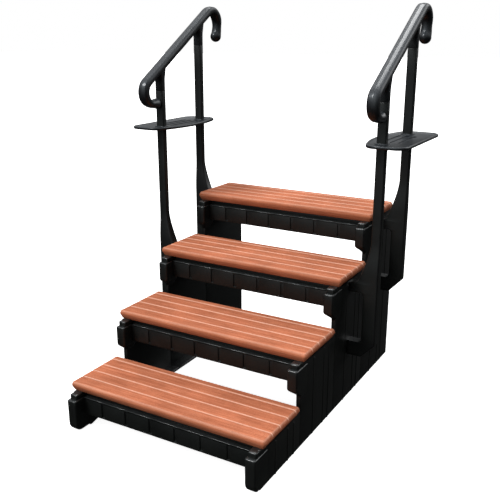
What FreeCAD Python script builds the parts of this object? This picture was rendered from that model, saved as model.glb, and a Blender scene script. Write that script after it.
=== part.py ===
import FreeCAD, Part
import math
import os
from FreeCAD import Vector

# Free-standing spa steps: four moulded treads on black side frames, with a handrail and a tray on each side.
# Millimetres. X runs across the steps, +Y runs from the lowest step to the highest, and +Z is up.
# Pieces are drawn with Y = 0 at the front edge of the lowest tread. They are moved as they are saved, so
# that the origin is on the floor below the middle of the side frames.

# Flight
tiers = 4
rise = 204.0
run = 324.0

# Treads
tread_width = 914.0
tread_depth = 292.0
tread_thickness = 39.0
tread_skin = 5.0
tread_nose_radius = 13.0
tread_corner_radius = 12.0
tread_bulge_drop = 18.0
tread_undercut = 11.0
plank_pitch = 62.7
plank_groove_width = 6.0
plank_groove_depth = 4.5
tread_rib = 4.0
tread_bays = 6
screw_post_diameter = 15.0

# Side frames, given for the right-hand side (+X)
tread_overhang = 16.0
frame_outside = tread_width / 2 - tread_overhang
wall_thickness = 20.0
wall_skin = 4.0
wall_rib = 5.0
wall_bay = 115.0
wall_set_back = -2.0
last_wall_overhang = 72.0
frame_gap = 0.5
column_width = 45.0
column_proud = 2.0
column_outside = frame_outside + column_proud
column_inside = column_outside - column_width
column_front = 43.0
column_back = 50.0
column_wall = 8.0
column_corner = 8.0
ledge_drop = 61.0
nose_drop = 153.0
nose_chamfer_drop = 34.0
nose_bend = 12.0
first_taper = 105.0
toe_radius = 40.0
neck_inset = 6.0
neck_set_back = 26.0
seat_thickness = 12.0
seat_gap = 2.0
seat_screw_shares = (0.3, 0.7)
base_flange_reach = 50.0
base_flange_thickness = 12.0
flute_width = 38.0
flute_depth = 2.0
flute_height = 100.0
outer_rib_width = 8.0
outer_rib_height = 1.5
outer_rib_offsets = (112.0, 212.0, 262.0)

# Rails between the side frames
rail_gap = 0.3
rail_set_back = 10.0
rail_height = 76.0
rail_wall = 5.0
rail_depth = 40.0
rail_neck_set_back = 18.0
rail_flange = 34.0
rail_block_height = 5.0
rail_groove = 13.0
rail_groove_pitch = 120.0
rail_grooves = 6
rail_strip = 8.0
rail_lip = 8.0
rear_rail_inset = 1.0
front_rail_screw_share = 0.7
rear_rail_screw_share = 0.6
rail_screw_edge = 20.0
rail_screw_pad = 18.0
neck_screw_pitches = 1.5

# Posts, with their feet
post_tiers = (3, 4)
post_reach = 105.0
post_x = frame_outside + post_reach
post_width = 42.0
post_depth = 28.0
post_wall = 4.0
post_corner = 7.0
post_set_back = 158.0
foot_depth = 44.0
foot_wall = 5.0
flare_start = 104.0
flare_end_reach = 42.0
flare_end_x = frame_outside + flare_end_reach
flare_end = -33.0
web_gap = 63.0
web_inside = frame_outside + web_gap
web_corner = 18.0
upper_arm_top = -56.0
upper_arm_bottom = -97.0
lower_arm_top = -327.0
lower_arm_bottom = -394.0
foot_chamfer_x = 57.0
foot_chamfer_z = 62.0
core_above_chamfer = 4.0
core_step_low = 20.0
core_step_high = 94.0

# Handrails
rail_slope = 31.5
grip_width = 52.0
grip_thickness = 40.0
grip_corner = 15.0
grip_wall = 6.0
grip_above_front_post = 1426.0
low_reach = 115.0
high_reach = 94.0
low_bend_radius = 55.0
high_bend_radius = 62.0
tail_radius = 160.0
tail_turn = 23.0
low_knob_radius = 24.0
high_knob_radius = 27.0
low_knob_gap = 1.0
stub_length = 108.0
spigot_length = 60.0
spigot_clearance = 0.3

# Trays
tray_top = 1158.0
tray_thickness = 13.0
tray_edge_radius = 4.0
tray_outer_reach = 125.0
tray_inner_reach = 87.0
tray_front_reach = 88.0
tray_back_reach = 86.0
tray_bow = 50.0
tray_corner_radius = 52.0
tray_rim = 12.0
tray_recess = 4.0
tray_collar = 8.0
tray_hole_clearance = 0.4
tray_grooves = 3
tray_groove_pitch = 34.0
tray_groove_width = 16.0
tray_groove_depth = 3.0

# Fasteners
bolt_diameter = 8.0
bolt_head_across = 13.0
bolt_head_height = 5.5
bolt_reach = 30.0
washer_diameter = 22.0
washer_thickness = 1.6
insert_diameter = 14.0
insert_length = 25.0
boss_diameter = 36.0
joint_bolt_diameter = 6.0
joint_bolt_across = 10.0
joint_bolt_head = 4.0
joint_nut_height = 5.0
joint_bolt_tail = 3.0
joint_bolt_low = 40.0
joint_bolt_drop = 55.0
screw_diameter = 5.0
screw_head_diameter = 9.5
screw_head_height = 3.0
tread_screw_bite = 18.0
rail_screw_bite = 13.0
small_screw_diameter = 4.0
small_screw_head = 8.0
small_screw_bite = 6.0
hole_clearance = 0.2
clip_width = 30.0
clip_leg = 24.0
clip_thickness = 3.0

# Worked out from the sizes above
frame_front = -column_front
frame_back = (tiers - 1) * run + tread_depth + last_wall_overhang
frame_middle = (frame_front + frame_back) / 2
wall_inside = frame_outside - wall_thickness
wall_middle = frame_outside - wall_thickness / 2
slope = math.radians(rail_slope)


def box(x, y, z):
    return Part.makeBox(x[1] - x[0], y[1] - y[0], z[1] - z[0], Vector(x[0], y[0], z[0]))


def rod(start, axis, length, diameter):
    return Part.makeCylinder(diameter / 2, length, Vector(*start), Vector(*axis))


def hexagon(start, axis, length, across):
    radius = across / math.sqrt(3)
    corners = [Vector(radius * math.cos(k * math.pi / 3), radius * math.sin(k * math.pi / 3), 0) for k in range(7)]
    prism = Part.Face(Part.makePolygon(corners)).extrude(Vector(0, 0, length))
    prism.Placement = FreeCAD.Placement(Vector(*start), FreeCAD.Rotation(Vector(0, 0, 1), Vector(*axis)))
    return prism


def flat(points):
    corners = [Vector(*p) for p in points]
    return Part.Face(Part.makePolygon(corners + corners[:1]))


def prism_x(points_yz, x):
    return flat([(x[0], y, z) for y, z in points_yz]).extrude(Vector(x[1] - x[0], 0, 0))


def prism_y(points_xz, y):
    return flat([(x, y[0], z) for x, z in points_xz]).extrude(Vector(0, y[1] - y[0], 0))


def join(pieces):
    return pieces[0].multiFuse(pieces[1:]).removeSplitter()


def cut_all(shape, tools):
    return shape.cut(tools) if tools else shape


def mirrored(shape):
    return shape.mirror(Vector(0, 0, 0), Vector(1, 0, 0))


def straight_edges(shape, along):
    kept = []
    for edge in shape.Edges:
        if len(edge.Vertexes) == 2 and isinstance(edge.Curve, Part.Line):
            start, end = (v.Point for v in edge.Vertexes)
            if (end - start).normalize().cross(along).Length < 1e-6:
                kept.append(edge)
    return kept


def upright(shape):
    return straight_edges(shape, Vector(0, 0, 1))


def save(name, shape):
    solids = shape.Solids
    placed = solids[0] if len(solids) == 1 else Part.makeCompound(solids)
    placed = placed.translated(Vector(0, -frame_middle, 0))
    placed.exportStep("parts/" + name + ".step")
    print("%-20s %2d solid(s) %8.1f cm3  valid %s  z %.0f to %.0f" % (
        name, len(solids), placed.Volume / 1000, placed.isValid(), placed.BoundBox.ZMin, placed.BoundBox.ZMax))


def tread_front(tier):
    return (tier - 1) * run


def tread_top(tier):
    return tier * rise


def tread_underside(tier):
    return tread_top(tier) - tread_thickness


def wall_ends(tier):
    front = tread_front(tier) + wall_set_back
    return front, frame_back if tier == tiers else front + run - frame_gap


def rear_rail_face(tier):
    return tread_front(tier) + tread_depth - rear_rail_inset


def post_y(tier):
    return tread_front(tier) + post_set_back


# Where the pieces are fastened to each other, on the right-hand side

def seat_screws(tier):
    x = (column_inside + wall_inside) / 2
    return [(x, tread_front(tier) + share * tread_depth) for share in seat_screw_shares]


def neck_screws(tier):
    y = tread_front(tier) + rail_set_back + rail_neck_set_back + rail_flange / 2
    return [(neck_screw_pitches * rail_groove_pitch, y)]


def rail_screws(tier):
    top = tread_top(tier) - ledge_drop
    front = tread_front(tier) + rail_set_back + rail_depth * front_rail_screw_share
    rear = rear_rail_face(tier) - rail_depth * rear_rail_screw_share
    heights = (top - rail_screw_edge, top - rail_height + rail_screw_edge)
    return [(x, y, z) for x, y in ((column_inside, front), (wall_inside, rear)) for z in heights]


def post_bolts(tier):
    arms = ((upper_arm_top + upper_arm_bottom) / 2, (lower_arm_top + lower_arm_bottom) / 2)
    return [(post_y(tier), tread_top(tier) + arm) for arm in arms] if tier in post_tiers else []


def joint_bolts(tier):
    if tier == tiers:
        return []
    return [(wall_ends(tier)[1], z) for z in (joint_bolt_low, tread_underside(tier) - joint_bolt_drop)]


# Treads

def edge_outline(low, high, under, top):
    # the board's section: upright near the top, drawn in below
    bulge = top - tread_bulge_drop
    return [(low, bulge), (low, top), (high, top), (high, bulge), (high - tread_undercut, under),
            (low + tread_undercut, under)]


def tread(tier):
    front, top, under = tread_front(tier), tread_top(tier), tread_underside(tier)
    back, half = front + tread_depth, tread_width / 2
    board = prism_x(edge_outline(front, back, under, top), (-half, half))
    board = board.common(prism_y(edge_outline(-half, half, under, top), (front, back)))
    board = board.makeFillet(tread_corner_radius, upright(board))
    rim = [e for e in board.Edges if min(v.Z for v in e.Vertexes) > top - 0.01]
    board = board.makeFillet(tread_nose_radius, rim)
    floor = top - plank_groove_depth
    grooves = []
    for n in range(1, math.ceil(tread_depth / plank_pitch)):
        y = front + n * plank_pitch
        grooves.append(box((-half - 1, half + 1), (y - plank_groove_width / 2, y + plank_groove_width / 2),
                           (floor, top + 1)))
    places = [(s * x, y) for x, y in seat_screws(tier) + neck_screws(tier) for s in (-1, 1)]
    posts = [rod((x, y, under), (0, 0, 1), tread_thickness, screw_post_diameter) for x, y in places]
    inset = tread_undercut + tread_rib
    rows = round(tread_depth / plank_pitch)
    bay = (tread_width - 2 * inset + tread_rib) / tread_bays
    row = (tread_depth - 2 * inset + tread_rib) / rows
    pockets = []
    for i in range(tread_bays):
        for j in range(rows):
            x = -half + inset + i * bay
            y = front + inset + j * row
            pocket = box((x, x + bay - tread_rib), (y, y + row - tread_rib), (under - 1, floor - tread_skin))
            pockets.append(pocket.cut(posts))
    holes = [rod((x, y, under - 1), (0, 0, 1), tread_screw_bite + 2, screw_diameter + hole_clearance)
             for x, y in places]
    return board.cut(grooves + pockets + holes)


# Side frames

def column_outline(tier):
    front, back = tread_front(tier) - column_front, tread_front(tier) + column_back
    ledge = tread_top(tier) - ledge_drop
    turn = [math.radians(15 * k) for k in range(7)]
    if tier == 1:
        toe = [(front + toe_radius * (1 - math.sin(a)), toe_radius * (1 - math.cos(a))) for a in turn]
        return toe + [(front, ledge), (back, ledge), (back, 0)]
    low = tread_top(tier) - nose_drop
    bottom = low - nose_chamfer_drop
    leg = tread_front(tier) + wall_set_back
    eighth = turn[:4]
    nose = [(front + nose_bend * (1 - math.cos(a)), low - nose_bend * math.sin(a)) for a in eighth]
    heel = [(leg - nose_bend * (1 - math.cos(a)), bottom + nose_bend * math.sin(a)) for a in reversed(eighth)]
    return [(front, ledge)] + nose + heel + [(back, bottom), (back, ledge)]


def column(tier):
    # rounded front corners; a nose is drawn in to the wall below it, and the first column tapers back to the wall
    front, back = tread_front(tier) - column_front, tread_front(tier) + column_back
    body = prism_x(column_outline(tier), (column_inside, column_outside))
    ledge = tread_top(tier) - ledge_drop
    plan = box((column_inside, column_outside), (front, back + column_corner), (0, ledge))
    corners = [e for e in upright(plan) if abs(e.CenterOfMass.y - front) < 0.01]
    body = body.common(plan.makeFillet(column_corner, corners))
    if tier == 1:
        taper = flat([(column_inside, back, 0), (wall_inside + 1, back, 0), (wall_inside + 1, back + first_taper, 0),
                      (wall_inside, back + first_taper, 0)])
        return [body, taper.extrude(Vector(0, 0, ledge - rail_height))]
    low = tread_top(tier) - nose_drop
    bottom = low - nose_chamfer_drop
    draw = prism_y([(column_inside - 1, low), (column_inside, low), (wall_inside, bottom), (wall_inside, bottom - 1),
                    (column_inside - 1, bottom - 1)], (front - 1, back + 1))
    return [body.cut(draw)]


def ribbed_wall(tier):
    # two skins with upright ribs between them, open underneath
    front, back = wall_ends(tier)
    under = tread_underside(tier)
    wall = box((wall_inside, frame_outside), (front, back), (0, under))
    solid = [rod((wall_inside, y, z), (1, 0, 0), wall_thickness, boss_diameter) for y, z in post_bolts(tier)]
    for x, y, z in rail_screws(tier)[2:]:
        solid.append(box((wall_inside, frame_outside), (y - rail_depth / 2, y + rail_depth / 2),
                         (z - rail_screw_pad / 2, z + rail_screw_pad / 2)))
    bays = round((back - front) / wall_bay)
    bay = (back - front - wall_rib) / bays
    pockets = []
    for i in range(bays):
        y = front + wall_rib + i * bay
        pocket = box((wall_inside + wall_skin, frame_outside - wall_skin), (y, y + bay - wall_rib),
                     (-1, under - wall_rib))
        pockets.append(cut_all(pocket, solid))
    return wall.cut(pockets)


def side_panel(tier):
    y0, top, under = tread_front(tier), tread_top(tier), tread_underside(tier)
    front, back = wall_ends(tier)
    ledge = top - ledge_drop
    neck = box((column_inside + neck_inset, frame_outside - neck_inset),
               (y0 - column_front + neck_set_back, y0 + column_back), (ledge - 1, under))
    neck = neck.makeFillet(neck_inset, upright(neck))
    seat_end = rear_rail_face(tier) - rail_neck_set_back - rail_flange - seat_gap
    seat = box((column_inside, frame_outside), (y0 + column_back - 1, seat_end), (under - seat_thickness, under))
    pieces = [ribbed_wall(tier), neck, seat] + column(tier)
    if tier > 1:
        pieces.append(box((wall_inside - base_flange_reach, wall_inside + 1), (front, back),
                          (0, base_flange_thickness)))
    for offset in outer_rib_offsets:
        pieces.append(box((frame_outside - 1, frame_outside + outer_rib_height),
                          (y0 + offset, y0 + offset + outer_rib_width), (0, ledge)))
    panel = join(pieces)

    low = toe_radius if tier == 1 else top - nose_drop
    hollow = box((column_inside + column_wall, wall_inside),
                 (y0 - column_front + column_wall, y0 + column_back + 1), (low + column_wall, ledge - column_wall))
    flute_y = y0 + column_back + flute_width / 2 + 2
    flute_top = under - seat_thickness
    flute_low = max(flute_top - flute_height, flute_width)
    x = frame_outside - flute_depth
    flute = box((x, frame_outside + 5), (flute_y - flute_width / 2, flute_y + flute_width / 2),
                (flute_low, flute_top))
    tools = [hollow, flute, rod((x, flute_y, flute_low), (1, 0, 0), 5 + flute_depth, flute_width)]
    for x, y in seat_screws(tier):
        tools.append(rod((x, y, under - seat_thickness - 1), (0, 0, 1), seat_thickness + 2,
                         screw_diameter + hole_clearance))
    for x, y, z in rail_screws(tier):
        tools.append(rod((x - 1, y, z), (1, 0, 0), rail_screw_bite + 2, screw_diameter + hole_clearance))
    for y, z in post_bolts(tier):
        tools.append(rod((wall_inside - 1, y, z), (1, 0, 0), wall_thickness + 2, bolt_diameter + hole_clearance))
    shared = joint_bolts(tier) + (joint_bolts(tier - 1) if tier > 1 else [])
    for y, z in shared:
        tools.append(rod((wall_middle, y - 2 * wall_rib, z), (0, 1, 0), 4 * wall_rib,
                         joint_bolt_diameter + hole_clearance))
    return panel.cut(tools)


# Rails

def rail_body(face_y, inward, skin, top, under, half):
    # inward is +1 when the rail's open side looks towards +Y and -1 when it looks towards -Y
    # skin is how far the upright wall stands behind the face
    low = top - rail_height

    def span(near, far):
        return sorted((face_y + inward * near, face_y + inward * far))

    neck_back = rail_neck_set_back + rail_wall
    pieces = [box((-half, half), span(skin, skin + rail_wall), (low, top)),
              box((-half, half), span(0, rail_depth), (low, low + rail_wall)),
              box((-half, half), span(0, neck_back), (top - rail_wall, top)),
              box((-half, half), span(rail_neck_set_back, neck_back), (top - rail_wall, under)),
              box((-half, half), span(rail_neck_set_back, rail_neck_set_back + rail_flange),
                  (under - rail_wall, under))]
    for s in (-1, 1):
        pieces.append(box(sorted((s * half, s * (half - rail_wall))), span(skin, rail_depth), (low, top)))
    for x in groove_places():
        pieces.append(box((x - rail_wall / 2, x + rail_wall / 2), span(skin, rail_depth - rail_wall), (low, top)))
    return pieces


def groove_places():
    return [(k - (rail_grooves - 1) / 2) * rail_groove_pitch for k in range(rail_grooves)]


def rail_holes(tier, rear):
    side = [p for p in rail_screws(tier) if (p[0] == wall_inside) == rear]
    reach = rail_wall + rail_gap + 2
    return [rod((s * x, y, z), (-s, 0, 0), reach, screw_diameter + hole_clearance)
            for x, y, z in side for s in (-1, 1)]


def front_rail(tier):
    y, top, under = tread_front(tier) + rail_set_back, tread_top(tier) - ledge_drop, tread_underside(tier)
    half = column_inside - rail_gap
    low = top - rail_height
    pieces = rail_body(y, 1, rail_block_height, top, under, half)
    for strip in ((low, low + rail_strip), (top - rail_lip, top)):
        pieces.append(box((-half, half), (y, y + rail_block_height), strip))
    starts = [-half] + [x + rail_groove / 2 for x in groove_places()]
    stops = [x - rail_groove / 2 for x in groove_places()] + [half]
    for start, stop in zip(starts, stops):
        pieces.append(box((start, stop), (y, y + rail_block_height + 1), (low, top)))
    holes = rail_holes(tier, False)
    for x, hole_y in neck_screws(tier):
        holes += [rod((s * x, hole_y, under - rail_wall - 1), (0, 0, 1), rail_wall + 2,
                      screw_diameter + hole_clearance) for s in (-1, 1)]
    return join(pieces).cut(holes)


def rear_rail(tier):
    top, under = tread_top(tier) - ledge_drop, tread_underside(tier)
    pieces = rail_body(rear_rail_face(tier), -1, 0, top, under, wall_inside - rail_gap)
    return join(pieces).cut(rail_holes(tier, True))


# Posts and handrails

def grip_height(y):
    return grip_above_front_post + (y - post_y(post_tiers[0])) * math.tan(slope)


def joint_height(tier):
    return grip_height(post_y(tier)) - stub_length


def rounded_bar(width, depth, corner, z, y):
    bar = box((post_x - width / 2, post_x + width / 2), (y - depth / 2, y + depth / 2), z)
    return bar.makeFillet(corner, upright(bar))


def post(tier):
    y, top, end = post_y(tier), tread_top(tier), joint_height(tier)
    inner, outer = post_x - post_width / 2, post_x + post_width / 2
    low = top + lower_arm_bottom
    side = [(inner, top + flare_start - 1), (outer, top + flare_start - 1), (outer, low + foot_chamfer_z),
            (outer - foot_chamfer_x, low), (frame_outside, low), (frame_outside, top + lower_arm_top),
            (web_inside, top + lower_arm_top), (web_inside, top + upper_arm_bottom),
            (frame_outside, top + upper_arm_bottom), (frame_outside, top + upper_arm_top),
            (flare_end_x, top + flare_end)]
    foot = prism_y(side, (y - foot_depth / 2, y + foot_depth / 2))
    crotch = [e for e in straight_edges(foot, Vector(0, 1, 0)) if abs(e.CenterOfMass.x - web_inside) < 0.01]
    foot = foot.makeFillet(web_corner, crotch)
    wide, slim = foot_depth / 2, post_depth / 2
    end_on = [(y - slim, top + flare_start), (y + slim, top + flare_start), (y + wide, top), (y + wide, low),
              (y - wide, low), (y - wide, top)]
    foot = foot.common(prism_x(end_on, (frame_outside, outer)))
    tube = rounded_bar(post_width, post_depth, post_corner, (top + flare_start - 1, end), y)
    body = join([foot, tube])
    reach = slim - post_wall
    core_low = low + foot_chamfer_z + core_above_chamfer
    core = [(inner + post_wall, end + 1), (outer - post_wall, end + 1), (outer - post_wall, core_low),
            (web_inside + foot_wall, core_low), (web_inside + foot_wall, top + core_step_low),
            (inner + post_wall, top + core_step_high)]
    tools = [prism_y(core, (y - reach, y + reach))]
    for bolt_y, z in post_bolts(tier):
        tools.append(rod((frame_outside, bolt_y, z), (1, 0, 0), insert_length, insert_diameter + hole_clearance))
        tools.append(rod((frame_outside, bolt_y, z), (1, 0, 0), bolt_reach + 2, bolt_diameter + hole_clearance))
    tools.append(rod((post_x, y, end - spigot_length / 2), (0, 1, 0), post_depth, screw_diameter + hole_clearance))
    tools.append(rod((post_x, y, tray_clip_height()), (0, 1, 0), post_depth, small_screw_diameter + hole_clearance))
    return body.cut(tools)


def grip_section(y, z, heading, width, thickness, corner):
    w, t, r = width / 2, thickness / 2, corner
    c = r * (1 - math.sqrt(0.5))
    across, up = Vector(1, 0, 0), Vector(0, -math.sin(heading), math.cos(heading))
    middle = Vector(post_x, y, z)

    def at(a, b):
        return middle + across * a + up * b

    edges = []
    for sa, sb, swap in ((1, 1, False), (-1, 1, True), (-1, -1, False), (1, -1, True)):
        side, cap = at(sa * w, sb * (t - r)), at(sa * (w - r), sb * t)
        bend = at(sa * (w - c), sb * (t - c))
        edges.append(Part.Arc(cap, bend, side) if swap else Part.Arc(side, bend, cap))
    curves = [arc.toShape() for arc in edges]
    outline = []
    for here, there in zip(curves, curves[1:] + curves[:1]):
        outline += [here, Part.makeLine(here.Vertexes[-1].Point, there.Vertexes[0].Point)]
    return Part.Face(Part.Wire(outline))


def swept_arc(y, z, heading, radius, turn):
    # turn is in degrees; a positive turn bends upwards from the heading, a negative one downwards
    side = 1 if turn > 0 else -1
    centre_y = y - side * radius * math.sin(heading)
    centre_z = z + side * radius * math.cos(heading)
    bent = grip_section(y, z, heading, grip_width, grip_thickness, grip_corner).revolve(
        Vector(post_x, centre_y, centre_z), Vector(1, 0, 0), turn)
    leave = heading + math.radians(turn)
    return bent, centre_y + side * radius * math.sin(leave), centre_z - side * radius * math.cos(leave), leave


def handrail():
    first, last = post_y(post_tiers[0]), post_y(post_tiers[-1])
    low_y = first - low_reach * math.cos(slope)
    high_y = last + high_reach * math.cos(slope)
    low_z, high_z = grip_height(low_y), grip_height(high_y)
    length = (high_y - low_y) / math.cos(slope)
    ahead = Vector(0, math.cos(slope), math.sin(slope))
    straight = grip_section(low_y, low_z, slope, grip_width, grip_thickness, grip_corner).extrude(ahead * length)

    curl, y, z, _ = swept_arc(low_y, low_z, slope + math.pi, low_bend_radius, 180 - rail_slope)
    knob_y = first - post_depth / 2 - low_knob_gap - low_knob_radius
    tip = grip_section(y, z, 0, grip_width, grip_thickness, grip_corner).extrude(Vector(0, knob_y - y, 0))
    pieces = [straight, curl, tip, Part.makeSphere(low_knob_radius, Vector(post_x, knob_y, z))]

    crook, y, z, heading = swept_arc(high_y, high_z, slope, high_bend_radius, -(90 + rail_slope))
    pieces.append(crook)
    tail, y, z, _ = swept_arc(y, z, heading, tail_radius, -tail_turn)
    pieces += [tail, Part.makeSphere(high_knob_radius, Vector(post_x, y, z))]

    spigots = []
    for tier in post_tiers:
        y = post_y(tier)
        pieces.append(rounded_bar(post_width, post_depth, post_corner, (joint_height(tier), grip_height(y)), y))
        plug = 2 * (post_wall + spigot_clearance)
        spigots.append(box((post_x - (post_width - plug) / 2, post_x + (post_width - plug) / 2),
                           (y - (post_depth - plug) / 2, y + (post_depth - plug) / 2),
                           (joint_height(tier) - spigot_length, joint_height(tier) + 1)))
    body = join(pieces + spigots)
    lead = grip_thickness
    start_y = low_y + lead * math.cos(slope)
    core = grip_section(start_y, grip_height(start_y), slope, grip_width - 2 * grip_wall,
                        grip_thickness - 2 * grip_wall, grip_corner - grip_wall).extrude(ahead * (length - 2 * lead))
    tools = [core]
    for tier in post_tiers:
        tools.append(rod((post_x, post_y(tier), joint_height(tier) - spigot_length / 2), (0, 1, 0), post_depth,
                         screw_diameter + hole_clearance))
    return body.cut(tools)


# Trays

def tray_plate(inset, z):
    x0, x1 = post_x - tray_inner_reach + inset, post_x + tray_outer_reach - inset
    y0 = post_y(post_tiers[0]) - tray_front_reach + inset
    y1 = post_y(post_tiers[-1]) + tray_back_reach - inset
    corner = [Vector(x1, y0, z[0]), Vector(x1, y1, z[0]), Vector(x0 + tray_bow, y1, z[0]),
              Vector(x0 + tray_bow, y0, z[0])]
    bow = Part.Arc(corner[2], Vector(x0, (y0 + y1) / 2, z[0]), corner[3]).toShape()
    outline = Part.Wire([Part.makeLine(corner[0], corner[1]), Part.makeLine(corner[1], corner[2]), bow,
                         Part.makeLine(corner[3], corner[0])])
    plate = Part.Face(outline).extrude(Vector(0, 0, z[1] - z[0]))
    return plate.makeFillet(tray_corner_radius - inset, upright(plate))


def tray():
    plate = tray_plate(0, (tray_top - tray_thickness, tray_top))
    rim = [e for e in plate.Edges if abs(e.BoundBox.ZMax - e.BoundBox.ZMin) < 1e-3]
    plate = plate.makeFillet(tray_edge_radius, rim)
    recess = tray_plate(tray_rim, (tray_top - tray_recess, tray_top + 1))
    first, last = post_y(post_tiers[0]), post_y(post_tiers[-1])
    floor = tray_top - tray_recess
    holes = []
    for y in (first, last):
        collar = rounded_bar(post_width + 2 * tray_collar, post_depth + 2 * tray_collar, post_corner,
                             (tray_top - tray_thickness, tray_top + 2), y)
        recess = recess.cut(collar)
        grow = 2 * tray_hole_clearance
        holes.append(rounded_bar(post_width + grow, post_depth + grow, post_corner,
                                 (tray_top - tray_thickness - 1, tray_top + 1), y))
        holes.append(rod((post_x, y + post_depth / 2 + clip_leg / 2, tray_top - tray_thickness - 1), (0, 0, 1),
                         small_screw_bite + 2, small_screw_diameter + hole_clearance))
    middle = post_x + (tray_outer_reach - tray_inner_reach) / 2
    ease = post_depth + tray_collar + tray_groove_width
    for k in range(tray_grooves):
        x = middle + (k - (tray_grooves - 1) / 2) * tray_groove_pitch
        slot = box((x - tray_groove_width / 2, x + tray_groove_width / 2), (first + ease, last - ease),
                   (floor - tray_groove_depth, floor + 1))
        ends = [rod((x, y, floor - tray_groove_depth), (0, 0, 1), tray_groove_depth + 1, tray_groove_width)
                for y in (first + ease, last - ease)]
        holes.append(slot.multiFuse(ends))
    return plate.cut([recess] + holes)


def tray_clip_height():
    return tray_top - tray_thickness - clip_leg / 2


def tray_clips():
    under = tray_top - tray_thickness
    clips = []
    for tier in post_tiers:
        y = post_y(tier) + post_depth / 2
        x = (post_x - clip_width / 2, post_x + clip_width / 2)
        angle = join([box(x, (y, y + clip_thickness), (under - clip_leg, under)),
                      box(x, (y, y + clip_leg), (under - clip_thickness, under))])
        holes = [rod((post_x, y - 1, tray_clip_height()), (0, 1, 0), clip_thickness + 2,
                     small_screw_diameter + hole_clearance),
                 rod((post_x, y + clip_leg / 2, under - clip_thickness - 1), (0, 0, 1), clip_thickness + 2,
                     small_screw_diameter + hole_clearance)]
        clips.append(angle.cut(holes))
    return clips


# Fasteners, as groups of separate solids on the right-hand side

def screw(seat, axis, length, diameter, head):
    back = tuple(-a * screw_head_height for a in axis)
    top = tuple(p + b for p, b in zip(seat, back))
    return join([rod(top, axis, screw_head_height, head), rod(seat, axis, length, diameter)])


def tray_screws():
    under = tray_top - tray_thickness - clip_thickness
    screws = []
    for tier in post_tiers:
        y = post_y(tier) + post_depth / 2
        reach = clip_thickness + small_screw_bite
        screws.append(screw((post_x, y + clip_thickness, tray_clip_height()), (0, -1, 0), reach,
                            small_screw_diameter, small_screw_head))
        screws.append(screw((post_x, y + clip_leg / 2, under), (0, 0, 1), reach, small_screw_diameter,
                            small_screw_head))
    return screws


def handrail_screws():
    return [screw((post_x, post_y(tier) + post_depth / 2, joint_height(tier) - spigot_length / 2), (0, -1, 0),
                  post_depth / 2 - 1, screw_diameter, screw_head_diameter) for tier in post_tiers]


def tread_screws():
    screws = []
    for tier in range(1, tiers + 1):
        under = tread_underside(tier)
        for places, grip in ((seat_screws(tier), seat_thickness), (neck_screws(tier), rail_wall)):
            screws += [screw((x, y, under - grip), (0, 0, 1), grip + tread_screw_bite - 1, screw_diameter,
                             screw_head_diameter) for x, y in places]
    return screws


def rail_end_screws():
    grip = rail_wall + rail_gap
    return [screw((x - grip, y, z), (1, 0, 0), grip + rail_screw_bite, screw_diameter, screw_head_diameter)
            for tier in range(1, tiers + 1) for x, y, z in rail_screws(tier)]


def foot_bolts():
    head = (wall_inside - washer_thickness - bolt_head_height, wall_inside - washer_thickness)
    bolts, washers, inserts = [], [], []
    for tier in post_tiers:
        for y, z in post_bolts(tier):
            length = frame_outside + bolt_reach - head[1]
            bolts.append(join([hexagon((head[0], y, z), (1, 0, 0), bolt_head_height, bolt_head_across),
                               rod((head[1], y, z), (1, 0, 0), length, bolt_diameter)]))
            bore = rod((head[1] - 1, y, z), (1, 0, 0), length, bolt_diameter + hole_clearance)
            washers.append(rod((head[1], y, z), (1, 0, 0), washer_thickness, washer_diameter).cut(bore))
            inserts.append(rod((frame_outside, y, z), (1, 0, 0), insert_length, insert_diameter).cut(bore))
    return bolts, washers, inserts


def frame_bolts():
    x = wall_middle
    bolts, nuts = [], []
    for tier in range(1, tiers):
        for end, z in joint_bolts(tier):
            head_y, nut_y = end - wall_rib, end + frame_gap + wall_rib
            length = nut_y + joint_nut_height + joint_bolt_tail - head_y
            bolts.append(join([hexagon((x, head_y - joint_bolt_head, z), (0, 1, 0), joint_bolt_head,
                                       joint_bolt_across),
                               rod((x, head_y, z), (0, 1, 0), length, joint_bolt_diameter)]))
            bore = rod((x, head_y, z), (0, 1, 0), length, joint_bolt_diameter + hole_clearance)
            nuts.append(hexagon((x, nut_y, z), (0, 1, 0), joint_nut_height, joint_bolt_across).cut(bore))
    return bolts, nuts


def both_sides(solids):
    return Part.makeCompound(solids + [mirrored(s) for s in solids])


def build():
    os.makedirs("parts", exist_ok=True)
    for tier in range(1, tiers + 1):
        save("tread_%d" % tier, tread(tier))
        save("front_rail_%d" % tier, front_rail(tier))
        save("rear_rail_%d" % tier, rear_rail(tier))
        panel = side_panel(tier)
        save("side_panel_right_%d" % tier, panel)
        save("side_panel_left_%d" % tier, mirrored(panel))
    for tier, place in zip(post_tiers, ("front", "rear")):
        upright_post = post(tier)
        save("post_right_" + place, upright_post)
        save("post_left_" + place, mirrored(upright_post))
    for name, piece in (("handrail", handrail()), ("tray", tray())):
        save(name + "_right", piece)
        save(name + "_left", mirrored(piece))
    bolts, washers, inserts = foot_bolts()
    joint_bolt_set, joint_nut_set = frame_bolts()
    groups = {"tray_clips": tray_clips(), "tray_screws": tray_screws(), "handrail_screws": handrail_screws(),
              "tread_screws": tread_screws(), "rail_screws": rail_end_screws(), "foot_bolts": bolts,
              "foot_washers": washers, "foot_inserts": inserts, "frame_bolts": joint_bolt_set,
              "frame_nuts": joint_nut_set}
    for name, solids in groups.items():
        save(name, both_sides(solids))


build()
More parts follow.
